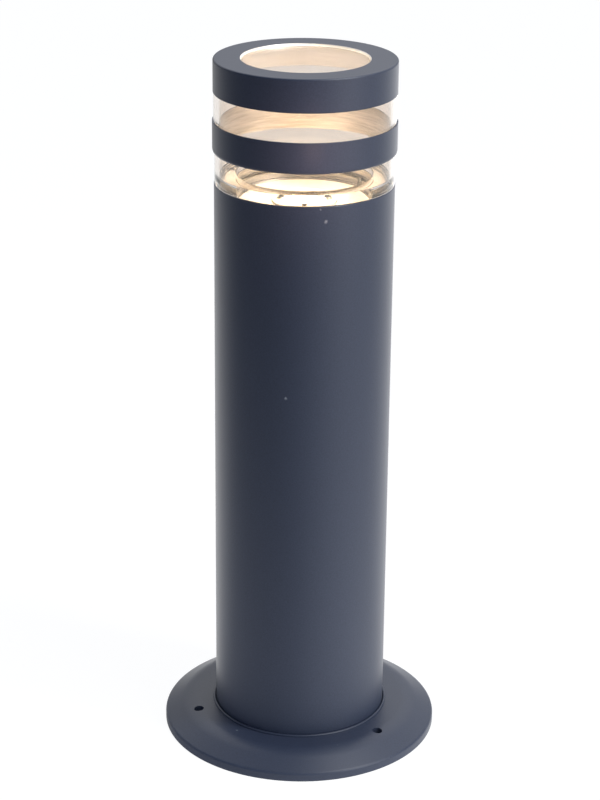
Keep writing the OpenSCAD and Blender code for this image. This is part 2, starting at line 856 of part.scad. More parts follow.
module lid_seal() {
    inset = 0.4;
    color(rubber)
        difference() {
            box_block(box_w - inset * 2, box_h - inset * 2, box_r - inset,
                box_front_y - lid_seal_t, lid_seal_t);
            box_block(box_w - lid_boss_d * 2 + 2, box_h - lid_boss_d * 2 + 2, box_r,
                box_front_y - lid_seal_t - 1, lid_seal_t + 2);
            at_lid_corners()
                translate([0, 0, -lid_seal_t - 1])
                    cylinder(r = small_screw_d / 2 + pass_gap, h = lid_seal_t + 2);
        }
}

module box_lid() {
    lid_y = box_front_y - lid_seal_t - lid_t;
    color(grey_plastic)
        difference() {
            box_block(box_w, box_h, box_r, lid_y, lid_t);
            at_lid_corners()
                translate([0, 0, -lid_seal_t - lid_t - 1])
                    cylinder(r = small_screw_d / 2 + pass_gap, h = lid_t + 2);
        }
}

module lid_screws() {
    color(zinc)
        at_lid_corners()
            translate([0, 0, -lid_seal_t - lid_t])
                mirror([0, 0, 1])
                    pan_screw(small_screw_d, lid_t + lid_seal_t + lid_screw_bite);
}

// The gland's through passage; the rubber sits in its lower, wider part
gland_bore_r = cable_d / 2 + 1.2;
gland_thread_r = gland_seal_d / 2 + 2.1;

module cable_gland() {
    hex_z = box_z - gland_hex_h;
    color(black_plastic)
        translate([0, gland_y, 0])
            difference() {
                union() {
                    translate([0, 0, hex_z])
                        hexagon(gland_af, gland_hex_h);
                    translate([0, 0, hex_z])
                        cylinder(d = gland_d, h = gland_hex_h + box_wall + locknut_h + 2);
                    translate([0, 0, hex_z - gland_thread_h])
                        cylinder(r = gland_thread_r, h = gland_thread_h + 1);
                }
                translate([0, 0, hex_z - gland_thread_h - 1])
                    cylinder(r = gland_bore_r,
                        h = gland_thread_h + gland_hex_h + box_wall + locknut_h + 4);
                translate([0, 0, hex_z - gland_thread_h - 1])
                    cylinder(r = gland_seal_d / 2 + slip, h = gland_thread_h + 1);
            }
}

module gland_locknut() {
    color(black_plastic)
        translate([0, gland_y, box_z + box_wall])
            difference() {
                hexagon(gland_af, locknut_h);
                translate([0, 0, -1])
                    cylinder(r = gland_d / 2 + thread_gap, h = locknut_h + 2);
            }
}

module gland_seal() {
    color(rubber)
        translate([0, gland_y, 0])
            ring(gland_seal_d / 2, cable_d / 2, box_z - gland_hex_h - gland_thread_h - 1.5,
                gland_thread_h + 1.5);
}

module gland_nut() {
    nut_top_z = box_z - gland_hex_h - 1;
    seal_z = box_z - gland_hex_h - gland_thread_h - 1.5;
    low_z = nut_top_z - gland_nut_h;
    color(black_plastic)
        translate([0, gland_y, 0])
            difference() {
                union() {
                    translate([0, 0, low_z + 3])
                        hexagon(gland_af, gland_nut_h - 3);
                    translate([0, 0, low_z])
                        cylinder(r1 = gland_af / 2 - 3, r2 = gland_af / 2, h = 3);
                }
                translate([0, 0, seal_z])
                    cylinder(r = gland_thread_r + thread_gap, h = gland_nut_h);
                translate([0, 0, low_z - 1])
                    cylinder(r = gland_bore_r, h = gland_nut_h);
            }
}

module earth_tag() {
    tag_t = earth_tag_t;
    barrel_h = earth_barrel_h;
    color(bare_metal)
        difference() {
            union() {
                translate([earth_x, tray_y, earth_z])
                    rotate([90, 0, 0])
                        cylinder(d = screw_d * 2.2, h = tag_t);
                translate([earth_lead_x, tray_y - tag_t, earth_z - 1.8])
                    cube([earth_x - earth_lead_x, tag_t, 3.6]);
                translate([earth_lead_x, tray_y, earth_z])
                    rotate([90, 0, 0])
                        cylinder(r = earth_lead_d / 2 + 0.7, h = tag_t + barrel_h);
            }
            translate([earth_x, tray_y + 1, earth_z])
                rotate([90, 0, 0])
                    cylinder(r = screw_d / 2 + pass_gap, h = tag_t + 2);
            translate([earth_lead_x, tray_y - tag_t, earth_z])
                rotate([90, 0, 0])
                    cylinder(r = earth_lead_d / 2 + thread_gap, h = barrel_h + 1);
        }
}

module earth_screw() {
    color("#c9a24a")
        front_screw(earth_x, earth_z, earth_tag_t);
}

module earth_lead() {
    start_z = box_z + box_h - box_wall - 2;
    r = earth_lead_d / 2;
    turn_z = earth_z - earth_bend;
    color("#7fa03a") {
        translate([earth_lead_x, earth_lead_y, start_z])
            cylinder(r = r, h = turn_z - start_z);
        translate([earth_lead_x, earth_lead_y + earth_bend, turn_z])
            rotate([90, 0, 90])
                rotate([0, 0, 90])
                    rotate_extrude(angle = 90)
                        translate([earth_bend, 0])
                            circle(r = r, $fn = 24);
        translate([earth_lead_x, earth_lead_y + earth_bend, earth_z])
            rotate([-90, 0, 0])
                cylinder(r = r, h = earth_barrel_h);
    }
}

module mains_lead() {
    start_z = box_z + box_h - box_wall - 4;
    color(rubber)
        translate([0, gland_y, start_z])
            cylinder(d = mains_lead_d, h = driver_z - start_z);
}

// Runs up from the driver, swings forward in a soft double bend and rises to the lamp board
module led_lead() {
    low_z = driver_z + driver_h;
    swing_z = low_z + 12;
    top_z = board_z + board_t + 0.5;
    steps = 16;
    path = concat([[0, gland_y, low_z]],
        [for (i = [0 : steps]) let (t = i / steps)
            [0, gland_y + (lead_hole_y - gland_y) * (3 * t * t - 2 * t * t * t),
                swing_z + lead_swing_h * t]],
        [[0, lead_hole_y, top_z]]);
    color(rubber)
        upright_tube(path, led_lead_d / 2, 12);
}

// A tube along a path that rises all the way, with a level ring at each of its points
module upright_tube(path, r, sides) {
    last = len(path) - 1;
    points = [for (p = path, k = [0 : sides - 1])
        p + [r * cos(k * 360 / sides), r * sin(k * 360 / sides), 0]];
    walls = [for (i = [0 : last - 1], k = [0 : sides - 1]) let (n = (k + 1) % sides)
        [i * sides + k, (i + 1) * sides + k, (i + 1) * sides + n, i * sides + n]];
    foot = [for (k = [0 : sides - 1]) k];
    head = [for (k = [sides - 1 : -1 : 0]) last * sides + k];
    polyhedron(points, concat(walls, [foot, head]));
}

base_flange();
foot_gasket();
post_tube();
tie_rods();
tie_washers();
tie_nuts();
heat_sink();
led_board();
led_emitter();
board_screws();
reflector();
lens_screws();
lens_seal();
lens_block();
middle_band();
top_window();
cap_seal();
cap_ring();
gear_tray();
tray_screws();
led_driver();
driver_screws();
terminal_box();
box_screws();
terminal_block();
lid_seal();
box_lid();
lid_screws();
cable_gland();
gland_locknut();
gland_seal();
gland_nut();
earth_tag();
earth_screw();
earth_lead();
mains_lead();
led_lead();
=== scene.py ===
# %% [markdown]
# A garden post light is a painted tube on a cast flange, with a hollow clear head that a light
# source in the tube fills with warm light. The parts come in at their real size. This script
# gives them their finishes, models the pieces that the light shines through or across with
# more care, and sets up a small studio.

# %% Load the parts
import math

import bmesh
import bpy
from mathutils import Matrix, Vector


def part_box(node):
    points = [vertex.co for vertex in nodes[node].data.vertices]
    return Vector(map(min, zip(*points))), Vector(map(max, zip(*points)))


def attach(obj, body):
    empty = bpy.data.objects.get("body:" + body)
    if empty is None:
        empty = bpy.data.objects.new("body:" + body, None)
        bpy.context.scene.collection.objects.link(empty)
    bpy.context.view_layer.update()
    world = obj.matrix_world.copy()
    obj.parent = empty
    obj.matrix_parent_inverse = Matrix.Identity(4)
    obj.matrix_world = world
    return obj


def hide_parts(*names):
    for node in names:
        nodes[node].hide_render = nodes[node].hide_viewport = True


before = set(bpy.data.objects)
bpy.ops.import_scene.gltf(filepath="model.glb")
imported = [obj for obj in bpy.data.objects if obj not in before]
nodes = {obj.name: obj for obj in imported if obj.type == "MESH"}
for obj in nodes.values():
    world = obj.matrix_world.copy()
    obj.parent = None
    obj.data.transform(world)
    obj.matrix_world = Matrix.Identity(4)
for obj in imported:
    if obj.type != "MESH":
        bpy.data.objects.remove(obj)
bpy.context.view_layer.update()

# %% [markdown]
# Colours are written as the hex values that a paint chart shows. Blender's sockets want
# linear light, so one function turns the one into the other. A second one adds a node with
# its values and links, and is used for every finish, the sheet, the world and the screws.

# %% Colour and node helpers
MM = 0.001


def paint(hex_value):
    """A hex colour as linear red, green, blue and a full alpha."""
    parts = [int(hex_value[i:i + 2], 16) / 255 for i in (1, 3, 5)]
    return [c / 12.92 if c <= 0.04045 else ((c + 0.055) / 1.055) ** 2.4 for c in parts] + [1.0]


def add_node(home, kind, settings=None, **links):
    """Adds one node to a material, a world or a node group.

    Settings name its properties, or its sockets by name or number. A socket takes a value or
    another node's output. The setting "stops" fills a colour ramp. Links feed sockets by name.
    """
    tree = getattr(home, "node_tree", home)
    node = tree.nodes.new(kind)
    for name, value in (settings or {}).items():
        if name == "stops":
            ramp = node.color_ramp.elements
            ramp.remove(ramp[1])
            for k, (at, colour) in enumerate(value):
                stop = ramp.new(at) if k else ramp[0]
                stop.position = at
                stop.color = colour
        elif not isinstance(name, int) and name not in node.inputs:
            setattr(node, name, value)
        elif isinstance(value, bpy.types.NodeSocket):
            tree.links.new(value, node.inputs[name])
        else:
            node.inputs[name].default_value = value
    for name, source in links.items():
        tree.links.new(source, node.inputs[name.replace("_", " ")])
    return node


def new_finish(name, **surface):
    """A material with one Principled shader, its fixed values set on the shader's own sockets."""
    material = bpy.data.materials.new(name)
    material.use_nodes = True
    shader = material.node_tree.nodes["Principled BSDF"]
    for socket, value in surface.items():
        shader.inputs[socket.replace("_", " ")].default_value = value
    material.diffuse_color = surface.get("Base_Color", [0.8, 0.8, 0.8, 1.0])
    return material, shader


def feed(material, source, node, socket):
    """Links an output to a socket of a node that is already there."""
    material.node_tree.links.new(source, node.inputs[socket])


def cover(material, surface):
    """Makes a shader the one that the material shows."""
    feed(material, surface, material.node_tree.nodes["Material Output"], "Surface")


print("mid grey in linear light:", round(paint("#808080")[0], 3))

# %% [markdown]
# Powder coat is a polyester powder melted onto the metal. It dries to a satin skin that is
# not flat: it keeps a fine orange peel, with a finer grain on top. The grain is about half a
# millimetre wide on the real post, which is just one dot of the picture, so it is drawn a
# little coarser. Small swells a few centimetres wide stop long reflections from being ruled
# lines. A handful of pale specks lie on it, and the peel's pattern frays their outlines.

# %% Powder coat
COAT_DARK = "#2f3647"
COAT_LIGHT = "#353d50"
PEEL_MM = 1.5
GRAIN_MM = 0.9
SWELL_MM = 30.0
# Dust and small knocks that show pale on the coat: place and radius in millimetres
SPECKS_MM = [
    ((-40.6, -49.4, 13.9), 0.7), ((25.1, -66.7, 13.9), 0.5), ((-10.3, -55.05, 250.0), 0.8),
    ((13.1, -54.5, 363.2), 1.1), ((9.7, -55.2, 371.1), 0.6)]
SPECK = "#7d828b"
# A speck fades from nothing to full between these shares of its radius
SPECK_EDGE = (1.3, 0.3)
# How far the peel shifts the outline of a speck
RAGGED_MM = 1.6


def powder_coat():
    material, shader = new_finish("powder coat anthracite", Base_Color=paint(COAT_DARK),
                                  Roughness=0.42, IOR=1.5)
    place = add_node(material, "ShaderNodeTexCoord").outputs["Object"]
    peel = add_node(material, "ShaderNodeTexNoise",
                    {"Scale": 1 / (PEEL_MM * MM), "Detail": 2.0}, Vector=place)
    grain = add_node(material, "ShaderNodeTexNoise",
                     {"Scale": 1 / (GRAIN_MM * MM), "Detail": 3.0}, Vector=place)
    swell = add_node(material, "ShaderNodeTexNoise",
                     {"Scale": 1 / (SWELL_MM * MM), "Detail": 1.0}, Vector=place)
    broad = add_node(material, "ShaderNodeBump", {"Strength": 0.25, "Distance": 0.3 * MM},
                     Height=swell.outputs["Fac"])
    low = add_node(material, "ShaderNodeBump", {"Strength": 0.35, "Distance": 0.06 * MM},
                   Height=peel.outputs["Fac"], Normal=broad.outputs["Normal"])
    fine = add_node(material, "ShaderNodeBump", {"Strength": 0.4, "Distance": 0.05 * MM},
                    Height=grain.outputs["Fac"], Normal=low.outputs["Normal"])
    feed(material, fine.outputs["Normal"], shader, "Normal")
    colour = add_node(material, "ShaderNodeValToRGB", {
        "stops": [(0.3, paint(COAT_DARK)), (0.7, paint(COAT_LIGHT))]},
        Fac=grain.outputs["Fac"]).outputs["Color"]
    ragged = add_node(material, "ShaderNodeVectorMath", {
        "operation": "MULTIPLY_ADD", 0: peel.outputs["Color"], 1: [RAGGED_MM * MM] * 3, 2: place})
    for centre, radius in SPECKS_MM:
        # The peel moves every point by half its range on average, so the centre moves along
        away = add_node(material, "ShaderNodeVectorMath", {
            "operation": "DISTANCE", 0: ragged.outputs[0],
            1: [(c + RAGGED_MM / 2) * MM for c in centre]})
        inside = add_node(material, "ShaderNodeMapRange", {
            "From Min": SPECK_EDGE[0] * radius * MM, "From Max": SPECK_EDGE[1] * radius * MM},
            Value=away.outputs["Value"])
        colour = add_node(material, "ShaderNodeMix", {
            "data_type": "RGBA", 0: inside.outputs["Result"], 6: colour,
            7: paint(SPECK)}).outputs[2]
    feed(material, colour, shader, "Base Color")
    return material


coat = powder_coat()
print("finish:", coat.name, "with", len(SPECKS_MM), "specks")

# %% [markdown]
# Acrylic is as clear as glass but bends light a little less. Its moulded walls are polished,
# so only the steps and edges show. The light source would have to find its way through two
# walls for each spot that it lights, which takes many samples, so the walls let lamps through
# to the metal behind them and only bend what is seen. The colour on that way through counts
# once at each wall, so it stays nearly white.

# %% Clear acrylic
ACRYLIC_IOR = 1.49
ACRYLIC_TINT = "#f4ece4"
LAMPLIGHT_TINT = "#fdfcfa"


def clear_acrylic():
    material, shader = new_finish("clear moulded acrylic", Base_Color=paint(ACRYLIC_TINT),
                                  Roughness=0.0, IOR=ACRYLIC_IOR, Transmission_Weight=1.0)
    path = add_node(material, "ShaderNodeLightPath").outputs
    way = add_node(material, "ShaderNodeBsdfTransparent", {"Color": paint(LAMPLIGHT_TINT)})
    cover(material, add_node(material, "ShaderNodeMixShader", {
        0: path["Is Shadow Ray"], 1: shader.outputs[0], 2: way.outputs[0]}).outputs[0])
    return material


acrylic = clear_acrylic()
print("refraction index:", ACRYLIC_IOR)

# %% [markdown]
# The insides of the band, the cap and the tube are masked before the coat is sprayed on, so
# they keep bare aluminium. A lathe leaves fine rings that smear each reflection along the
# wall, and the light source turns the grey metal a warm cream. The cap's inside looks chalkier,
# as if blasted after turning: it throws light about more evenly, so it is less of a mirror.

# %% Turned aluminium
RING_MM = 1.4
# The rings' pattern is stretched this much round the wall
RING_STRETCH = 0.06


def turned_aluminium(name, dark, light, metallic):
    material, shader = new_finish(name, Base_Color=paint(light), Roughness=0.42,
                                  Metallic=metallic)
    place = add_node(material, "ShaderNodeTexCoord").outputs["Object"]
    flat = add_node(material, "ShaderNodeMapping", {"Scale": (RING_STRETCH, RING_STRETCH, 1.0)},
                    Vector=place)
    rings = add_node(material, "ShaderNodeTexNoise",
                     {"Scale": 1 / (RING_MM * MM), "Detail": 5.0}, Vector=flat.outputs["Vector"])
    shade = add_node(material, "ShaderNodeValToRGB", {
        "stops": [(0.3, paint(dark)), (0.7, paint(light))]}, Fac=rings.outputs["Fac"])
    feed(material, shade.outputs["Color"], shader, "Base Color")
    bump = add_node(material, "ShaderNodeBump", {"Strength": 0.6, "Distance": 0.05 * MM},
                    Height=rings.outputs["Fac"])
    feed(material, bump.outputs["Normal"], shader, "Normal")
    return material


bare_metal = turned_aluminium("turned aluminium", "#c9c9c8", "#f0f0ef", 1.0)
chalky_metal = turned_aluminium("turned and blasted aluminium", "#e0dedb", "#f6f4f1", 0.72)
print("finishes:", bare_metal.name, "and", chalky_metal.name)

# %% [markdown]
# The inner parts are cast, plated or moulded, and most of them are seen only when the light is
# taken apart. Each of these skins is one colour that varies a little from spot to spot, with a
# slight unevenness of the same pattern, so one function makes them all. The heat sink shows
# through the lens's foot. It is as cast, so it is part mirror and part matt.

# %% Plain finishes for the inner parts
def speckled(name, dark, light, size_mm, roughness, bump_mm=0.02, **surface):
    """A finish whose colour and surface vary a little, as a moulded, cast or plated skin does."""
    material, shader = new_finish(name, Base_Color=paint(light), Roughness=roughness, **surface)
    place = add_node(material, "ShaderNodeTexCoord").outputs["Object"]
    noise = add_node(material, "ShaderNodeTexNoise", {"Scale": 1 / (size_mm * MM), "Detail": 4.0},
                     Vector=place)
    shade = add_node(material, "ShaderNodeValToRGB", {
        "stops": [(0.35, paint(dark)), (0.65, paint(light))]}, Fac=noise.outputs["Fac"])
    feed(material, shade.outputs["Color"], shader, "Base Color")
    bump = add_node(material, "ShaderNodeBump", {"Strength": 0.5, "Distance": bump_mm * MM},
                    Height=noise.outputs["Fac"])
    feed(material, bump.outputs["Normal"], shader, "Normal")
    return material


cast_aluminium = speckled("cast aluminium", "#c4c5c6", "#d4d5d6", 0.8, 0.42, 0.05, Metallic=0.5)
zinc_plate = speckled("bright zinc plate", "#bcbfbd", "#cfd1ce", 2.5, 0.3, 0.01, Metallic=1.0)
brass = speckled("turned brass", "#c39c4e", "#d2ad5f", 1.5, 0.28, 0.01, Metallic=1.0)
rubber = speckled("moulded rubber", "#17171a", "#202023", 1.2, 0.6)
mask_white = speckled("white solder mask", "#e8e8e2", "#f2f2ee", 2.0, 0.4, 0.01)
reflector_white = speckled("gloss white reflector", "#efeee8", "#f8f7f2", 4.0, 0.18, 0.01)
case_white = speckled("moulded white polycarbonate", "#dcdcd8", "#e6e6e2", 1.0, 0.5)
box_grey = speckled("moulded grey plastic", "#b2b6b8", "#bec2c4", 1.0, 0.5)
nylon_white = speckled("natural nylon", "#e2e2da", "#ecece6", 1.4, 0.45)
nylon_black = speckled("black nylon", "#191a1d", "#232427", 1.0, 0.5)
lead_black = speckled("black lead jacket", "#161618", "#1f1f21", 1.5, 0.5)
lead_green = speckled("green and yellow insulation", "#4f8a2c", "#c8cc3a", 6.0, 0.5)
print("finishes so far:", len(bpy.data.materials))

# %% [markdown]
# The light source is a chip under a layer of phosphor that glows a warm white. Its own mesh
# gives off the light, so that it fills the head from where the real one sits and lights the
# walls that face it most.

# %% Light source
GLOW = paint("#fff0dc")
GLOW_STRENGTH = 112.0


def phosphor():
    material, shader = new_finish("warm phosphor", Base_Color=paint("#ffd98a"), Roughness=0.4)
    shader.inputs["Emission Color"].default_value = GLOW
    shader.inputs["Emission Strength"].default_value = GLOW_STRENGTH
    return material


lit = phosphor()
print("finish:", lit.name, "at strength", GLOW_STRENGTH)

# %% [markdown]
# Each part gets the finish of its real material. A table of finishes and parts is easy to
# read through, and the last line names any part that was forgotten.

# %% Give every part its finish
FINISHES = {
    coat: ["base_flange", "post_tube", "middle_band", "cap_ring"],
    acrylic: ["lens_block", "top_window"],
    cast_aluminium: ["heat_sink", "earth_tag"],
    zinc_plate: ["tie_rods", "tie_washers", "tie_nuts", "board_screws", "lens_screws", "gear_tray",
                 "tray_screws", "driver_screws", "box_screws", "lid_screws"],
    brass: ["earth_screw"],
    rubber: ["foot_gasket", "lens_seal", "cap_seal", "lid_seal", "gland_seal"],
    mask_white: ["led_board"],
    lit: ["led_emitter"],
    reflector_white: ["reflector"],
    case_white: ["led_driver"],
    box_grey: ["terminal_box", "box_lid"],
    nylon_white: ["terminal_block"],
    nylon_black: ["cable_gland", "gland_locknut", "gland_nut"],
    lead_black: ["mains_lead", "led_lead"],
    lead_green: ["earth_lead"],
}
for material, names in FINISHES.items():
    for name in names:
        for slot in nodes[name].material_slots:
            slot.material = material
print("parts without a finish:", sorted(set(nodes) - {n for ns in FINISHES.values() for n in ns}))

# %% [markdown]
# A part that arrives from the drawing is made of loose flat triangles. Paint shows each of
# them, so the shells that are seen get a copy with its points merged, smooth shading and
# edges that stay sharp where the metal turns a corner. The faces that look at the axis of a
# hollow shell get the bare metal.

# %% Smooth copies of the painted shells
SHARP_ANGLE = math.radians(24)
FLAT_ANGLE = math.radians(0.05)
MERGE = 0.001 * MM
# A face looks at the axis, or down, when its normal leans that way by at least this much
INWARD = 0.6
DOWNWARD = 0.9
# How closely a height or a radius has to agree to be taken for the same one
SAME = 0.1 * MM
SAME_POINT = 0.03 * MM
SAME_LEVEL = 0.05 * MM


def show(name, data):
    """A new object in the scene, at the origin."""
    item = bpy.data.objects.new(name, data)
    bpy.context.scene.collection.objects.link(item)
    return item


def settle(piece):
    """Makes what a piece's modifiers show its own plain mesh."""
    made = bpy.data.meshes.new_from_object(piece.evaluated_get(
        bpy.context.evaluated_depsgraph_get()))
    piece.modifiers.clear()
    piece.data = made


def even_shading(piece):
    """Lets each large face keep its own flat light, so that only the roundings blend."""
    weigh = piece.modifiers.new("even shading", "WEIGHTED_NORMAL")
    weigh.keep_sharp = True
    weigh.weight = 90
    settle(piece)


def smooth_but_sharp(form):
    """Smooth faces, with each edge that turns more than a little kept sharp."""
    for face in form.faces:
        face.smooth = True
    for edge in form.edges:
        edge.smooth = len(edge.link_faces) == 2 and edge.calc_face_angle(0) < SHARP_ANGLE


def faces_axis(face, bore_radius):
    """True for a face that looks at the axis from within a radius."""
    middle = face.calc_center_median()
    radius = math.hypot(middle.x, middle.y)
    if radius > bore_radius:
        return False
    return -(face.normal.x * middle.x + face.normal.y * middle.y) / max(radius, 1e-6) > INWARD


def is_roof(face, roof_z):
    """True for a face that looks down from the height of a roof."""
    return (roof_z is not None and face.normal.z < -DOWNWARD
            and abs(face.calc_center_median().z - roof_z) < SAME)


def smooth_copy(name, bore_radius=0.0, roof_z=None, lining=bare_metal):
    """A part's finished shell. Its bore, and a roof over that, get the lining's metal."""
    mesh = nodes[name].data.copy()
    form = bmesh.new()
    form.from_mesh(mesh)
    bmesh.ops.remove_doubles(form, verts=form.verts, dist=MERGE)
    bmesh.ops.dissolve_limit(form, angle_limit=FLAT_ANGLE, verts=form.verts,
                             edges=form.edges, delimit=set())
    smooth_but_sharp(form)
    bare = 0
    if bore_radius:
        for face in form.faces:
            if is_roof(face, roof_z) or faces_axis(face, bore_radius):
                face.material_index = 1
                bare += 1
        mesh.materials.append(lining)
    form.to_mesh(mesh)
    form.free()
    piece = show(name + "_finished", mesh)
    even_shading(piece)
    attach(piece, "root")
    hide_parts(name)
    print(piece.name, len(piece.data.polygons), "faces,", bare, "of them bare")
    return piece


def reach(name, z):
    """Smallest and largest distance from the axis of a part's points at one height."""
    r = [math.hypot(v.co.x, v.co.y) for v in nodes[name].data.vertices
         if abs(v.co.z - z) < SAME_POINT]
    return min(r), max(r)


def levels(name):
    """The heights of a part's points, lowest first, one for each step."""
    found = []
    for z in sorted(v.co.z for v in nodes[name].data.vertices):
        if not found or z - found[-1] > SAME_LEVEL:
            found.append(z)
    return found


# %% [markdown]
# The light lies inside the band and under the cap's top, so how far the bare metal goes is
# read off each part: its bore, and for the cap the ceiling of its bore.

# %% Flange, post, band and cap
# The bores' faces are chords of a circle, so 0.3 mm is added to each radius to be sure
post_bore = reach("post_tube", levels("post_tube")[1])[0] + 0.3 * MM
band_bore = reach("middle_band", levels("middle_band")[0])[0] + 0.3 * MM
cap_levels = levels("cap_ring")
cap_bore = reach("cap_ring", cap_levels[0])[0]
cap_roof = [z for z in cap_levels if abs(reach("cap_ring", z)[1] - cap_bore) < SAME][-1]
smooth_copy("base_flange")
smooth_copy("post_tube", post_bore)
smooth_copy("middle_band", band_bore)
smooth_copy("cap_ring", cap_bore + 0.3 * MM, cap_roof, chalky_metal)
print("bores in mm:", [round(r / MM, 2) for r in (post_bore, band_bore, cap_bore)],
      "cap's ceiling at", round(cap_roof / MM, 2))

# %% [markdown]
# The clear head is moulded as a hollow ring on a thick foot, and the round window on top is a
# disc. Light bends at their walls, so they must be truly round: each is spun here from its
# section with many steps, instead of using the drawing's facets. The section is read off the
# part, level by level.

# %% Turned pieces
STEPS = 192
ROUNDING_STEPS = 4


def turned(name, profile, material):
    """A body of revolution from (radius, height) points in metres, walked round its section."""
    mesh = bpy.data.meshes.new(name)
    form = bmesh.new()
    rings = []
    for radius, z in profile:
        if radius < 1e-6:
            rings.append([form.verts.new((0, 0, z))] * STEPS)
            continue
        turn = [2 * math.pi * k / STEPS for k in range(STEPS)]
        rings.append([form.verts.new((radius * math.cos(a), radius * math.sin(a), z))
                      for a in turn])
    for i in range(len(profile)):
        low, high = rings[i], rings[(i + 1) % len(profile)]
        for k in range(STEPS):
            after = (k + 1) % STEPS
            corners = list(dict.fromkeys((low[k], low[after], high[after], high[k])))
            if len(corners) > 2:
                form.faces.new(corners)
    bmesh.ops.recalc_face_normals(form, faces=form.faces)
    smooth_but_sharp(form)
    form.to_mesh(mesh)
    form.free()
    mesh.materials.append(material)
    return show(name, mesh)


def softened(profile, radius, corners):
    """The same section with the named corners rounded off, as a mould's edges are."""
    out = []
    for i, (r, z) in enumerate(profile):
        if i not in corners:
            out.append((r, z))
            continue
        here = Vector((r, z))
        before = (Vector(profile[i - 1]) - here).normalized() * radius
        after = (Vector(profile[(i + 1) % len(profile)]) - here).normalized() * radius
        centre = here + before + after
        for k in range(ROUNDING_STEPS + 1):
            a = math.pi / 2 / ROUNDING_STEPS * k
            out.append(tuple(centre - after * math.cos(a) - before * math.sin(a)))
    return out


print("steps to a turn:", STEPS)

# %% [markdown]
# The ring's section runs from its foot up the outside, past the groove of its seal, the ledge
# on the post's end and the step under the cap, and back down the inside. Only the foot's four
# corners are rounded, because a moulded edge shows as a soft line through the lower window.

# %% Clear lens
LENS_EDGE = 0.4 * MM
(foot_z, groove_low, hole_top, groove_high, mouth_z, ledge_z, step_z, neck_z,
 rim_z) = levels("lens_block")
foot_in, foot_out = reach("lens_block", foot_z)
groove_r = reach("lens_block", groove_low)[0]
lens_r = reach("lens_block", mouth_z)[1]
wall_in = reach("lens_block", rim_z)[0]
upper_r = reach("lens_block", step_z)[1]
neck_r = reach("lens_block", neck_z)[0]
hole_near, hole_far = reach("lens_block", hole_top)
print("foot %.2f to %.2f mm, ledge %.2f mm, wall %.2f mm" % (
    foot_in / MM, foot_out / MM, ledge_z / MM, (lens_r - wall_in) / MM))
LENS_SECTION = [
    (foot_in, foot_z), (foot_out, foot_z), (foot_out, groove_low), (groove_r, groove_low),
    (groove_r, groove_high), (foot_out, groove_high), (foot_out, mouth_z), (lens_r, mouth_z),
    (lens_r, step_z), (upper_r, step_z), (upper_r, neck_z), (neck_r, neck_z),
    (neck_r, rim_z), (wall_in, rim_z), (wall_in, ledge_z), (foot_in, ledge_z)]
lens = turned("lens_clear", softened(LENS_SECTION, LENS_EDGE, {0, 1, 14, 15}), acrylic)

# %% [markdown]
# Three screws come up into the foot from below. Their holes are cut with a Boolean, so that
# the threads stand in air and not in the plastic.

# %% Screw holes in the lens's foot
HOLE_SIDES = 48
DRILL_LENGTH = 10 * MM
SCREW_CIRCLE = (hole_near + hole_far) / 2
HOLE_RADIUS = (hole_far - hole_near) / 2
hole_points = [v.co for v in nodes["lens_block"].data.vertices
               if abs(v.co.z - hole_top) < SAME_POINT]
first = max(hole_points, key=lambda p: p.y)
near_first = [p for p in hole_points if (p - first).length < 3 * HOLE_RADIUS]
middle = sum(near_first, Vector()) / len(near_first)
SCREW_ANGLE = math.atan2(middle.y, middle.x)
SCREW_ANGLES = [SCREW_ANGLE + 2 * math.pi * k / 3 for k in range(3)]
print("screw circle %.2f mm, hole %.2f mm, first at %.1f degrees" % (
    SCREW_CIRCLE / MM, HOLE_RADIUS / MM, math.degrees(SCREW_ANGLE)))


def drill(piece, angles):
    """Cuts an upright hole at each angle on the screw circle, from below up to its end."""
    cutter = bpy.data.meshes.new("drill")
    form = bmesh.new()
    for angle in angles:
        place = Matrix.Translation((SCREW_CIRCLE * math.cos(angle), SCREW_CIRCLE * math.sin(angle),
                                    hole_top - DRILL_LENGTH / 2))
        bmesh.ops.create_cone(form, cap_ends=True, segments=HOLE_SIDES, radius1=HOLE_RADIUS,
                              radius2=HOLE_RADIUS, depth=DRILL_LENGTH, matrix=place)
    form.to_mesh(cutter)
    form.free()
    tool = show("drill", cutter)
    cut = piece.modifiers.new("holes", "BOOLEAN")
    cut.operation = "DIFFERENCE"
    cut.solver = "EXACT"
    cut.object = tool
    settle(piece)
    bpy.data.objects.remove(tool)


drill(lens, SCREW_ANGLES)
even_shading(lens)
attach(lens, "root")
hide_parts("lens_block")
print("lens:", len(lens.data.polygons), "faces")

# %% [markdown]
# The window lies on the ring's rim under the cap, and its middle stands up through the cap's
# aperture as a thicker pane with a soft edge. Two clear faces in the same place would confuse
# the light that passes them, so a film of air is left between the window and the rim.

# %% Round window
AIR = 0.05 * MM
WINDOW_EDGE = 0.35 * MM
low_z, edge_z, chamfer_z, face_z = levels("top_window")
edge_r = reach("top_window", low_z)[1]
pane_r = reach("top_window", chamfer_z)[1]
window = turned("round_window", softened([
    (0, low_z + AIR), (edge_r, low_z + AIR), (edge_r, edge_z), (pane_r, edge_z), (pane_r, face_z),
    (0, face_z)], WINDOW_EDGE, {4}), acrylic)
even_shading(window)
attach(window, "root")
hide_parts("top_window")
print("window: %.2f mm across, %.2f mm thick" % (2 * pane_r / MM, (face_z - low_z) / MM))

# %% [markdown]
# The screws that hold the lens show through its foot, so they get their thread. A thread is a
# helix: a spiral curve carries a small three-sided section along it. One tree draws the core,
# the helix and the head, and sets them on a circle, so a change of pitch or count is one number.

# %% Threaded screws by Geometry Nodes
# The core's radius is a share of the screw's, and the ridge's own radius a share of the pitch
CORE_SHARE = 0.86
RIDGE_SHARE = 0.36
# The head narrows to this share of its radius at its free end
HEAD_TAPER = 0.8
TURN_STEPS = 28
CORE_SIDES = 32
HEAD_SIDES = 40


